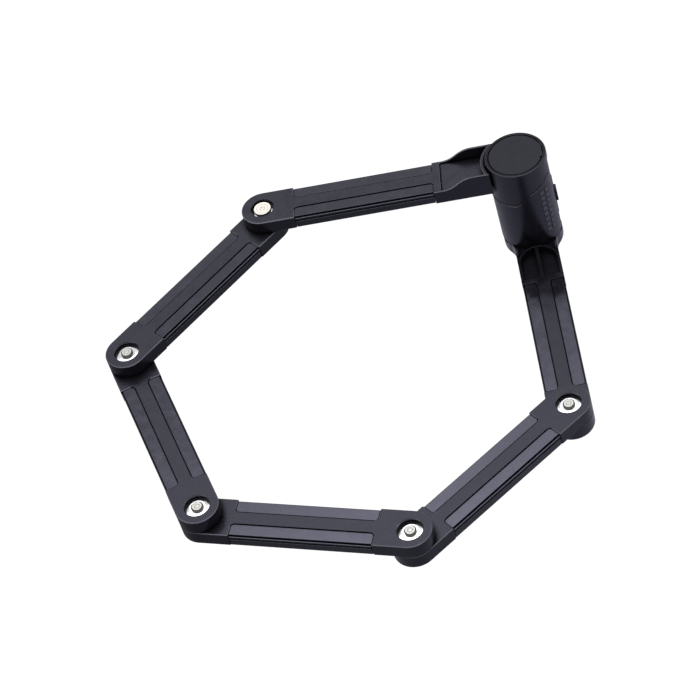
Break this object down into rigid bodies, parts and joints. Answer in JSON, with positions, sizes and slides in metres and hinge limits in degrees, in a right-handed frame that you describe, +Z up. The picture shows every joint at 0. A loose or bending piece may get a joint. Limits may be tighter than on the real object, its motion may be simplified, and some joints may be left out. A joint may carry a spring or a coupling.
{
  "type": "folding bike lock",
  "caption": "Folding bike lock closed as a loop: flat riveted links, each a level above the last, and a cylindrical lock housing.",
  "frame": {"origin": "on the housing's axis, at the underside of the root disc that the lock rests on", "axes": "+Z up along the housing's axis, across the links' levels; +X out through the keyhole; -Y along the first link"},
  "size_m": [0.2953, 0.2829, 0.075],
  "materials": {
    "jacket": "fine moulded texture, near black",
    "strip": "satin, fine grained, near black",
    "hardened_steel": "case hardened, grey",
    "rivet_steel": "turned, nickel plated",
    "washer_steel": "polished",
    "bushing_steel": "turned",
    "body_metal": "cast and machined",
    "shell": "satin, near black",
    "cap": "matte, near black",
    "brass": "machined",
    "slide_washer": "plain",
    "screw_steel": "black oxide",
    "spring_steel": "drawn wire",
    "shutter": "matte black"
  },
  "bodies": {
    "housing": {"lock_body": "body_metal", "shell_lower": "shell", "shell_upper": "shell", "cap": "cap", "cylinder_body": "brass", "stud": "hardened_steel", "root_washer": "slide_washer", "base_screws": "screw_steel", "top_screws": "screw_steel", "grub_screw": "screw_steel", "bolt_spring": "spring_steel"},
    "link_a": {"jacket_a": "jacket", "bar_a": "hardened_steel", "strip_a_left": "strip", "strip_a_right": "strip", "rivet_1": "rivet_steel", "bushing_1": "bushing_steel"},
    "link_b": {"jacket_b": "jacket", "bar_b": "hardened_steel", "strip_b_left": "strip", "strip_b_right": "strip", "washer_1": "washer_steel", "rivet_2": "rivet_steel", "bushing_2": "bushing_steel"},
    "link_c": {"jacket_c": "jacket", "bar_c": "hardened_steel", "strip_c_left": "strip", "strip_c_right": "strip", "washer_2": "washer_steel", "rivet_3_lower": "rivet_steel", "bushing_3_lower": "bushing_steel"},
    "link_d": {"jacket_d": "jacket", "bar_d": "hardened_steel", "strip_d_left": "strip", "strip_d_right": "strip", "washer_3": "washer_steel", "rivet_3_upper": "rivet_steel", "bushing_3_upper": "bushing_steel", "rivet_4": "rivet_steel", "bushing_4": "bushing_steel"},
    "link_e": {"jacket_e": "jacket", "bar_e": "hardened_steel", "strip_e_left": "strip", "strip_e_right": "strip", "washer_4": "washer_steel", "bushing_5": "bushing_steel"},
    "link_f": {"jacket_f": "jacket", "bar_f": "hardened_steel", "strip_f_left": "strip", "strip_f_right": "strip", "washer_5": "washer_steel", "rivet_5": "rivet_steel"},
    "plug": {"key_plug": "brass", "discs": "brass", "crank": "hardened_steel"},
    "bolt": {"bolt": "hardened_steel"},
    "shutter": {"shutter": "shutter"}
  },
  "joints": [
    {"name": "root_hinge", "type": "hinge", "parent": "housing", "child": "link_a", "pos_m": [0, 0, 0.0045], "axis": [0, 0, -1], "range_deg": [0, 94.89]},
    {"name": "hinge_1", "type": "hinge", "parent": "link_a", "child": "link_b", "pos_m": [0, -0.165, 0.015], "axis": [0, 0, 1], "range_deg": [0, 233.8]},
    {"name": "hinge_2", "type": "hinge", "parent": "link_b", "child": "link_c", "pos_m": [-0.1049, -0.24178, 0.025], "axis": [0, 0, -1], "range_deg": [0, 124.2]},
    {"name": "tongue_slide", "type": "slide", "parent": "housing", "child": "link_f", "axis": [-0.9964, 0.0853, 0], "range_m": [0, 0.0235]},
    {"name": "hinge_5", "type": "hinge", "parent": "link_f", "child": "link_e", "pos_m": [-0.1644, 0.01407, 0.055], "axis": [0, 0, 1], "range_deg": [0, 133.26]},
    {"name": "hinge_4", "type": "hinge", "parent": "link_e", "child": "link_d", "pos_m": [-0.26124, -0.07266, 0.045], "axis": [0, 0, -1], "range_deg": [0, 243.25]},
    {"name": "key_turn", "type": "hinge", "parent": "housing", "child": "plug", "pos_m": [0, 0, 0.04], "axis": [1, 0, 0], "range_deg": [0, 90]},
    {"name": "bolt_slide", "type": "slide", "parent": "housing", "child": "bolt", "axis": [0, 0, 1], "range_m": [0, 0.00509], "deforming": ["bolt_spring"]},
    {"name": "shutter_slide", "type": "slide", "parent": "housing", "child": "shutter", "axis": [0, 0, 1], "range_m": [-0.0075, 0.0065]}
  ],
  "couplings": [
    {"joint": "hinge_1", "follows": "root_hinge", "ratio": 2.4638},
    {"joint": "hinge_2", "follows": "root_hinge", "ratio": 1.3089},
    {"joint": "hinge_5", "follows": "root_hinge", "ratio": 1.4043},
    {"joint": "hinge_4", "follows": "root_hinge", "ratio": 2.5634},
    {"joint": "key_turn", "follows": "bolt_slide", "rad_per_m": 308.53}
  ]
}
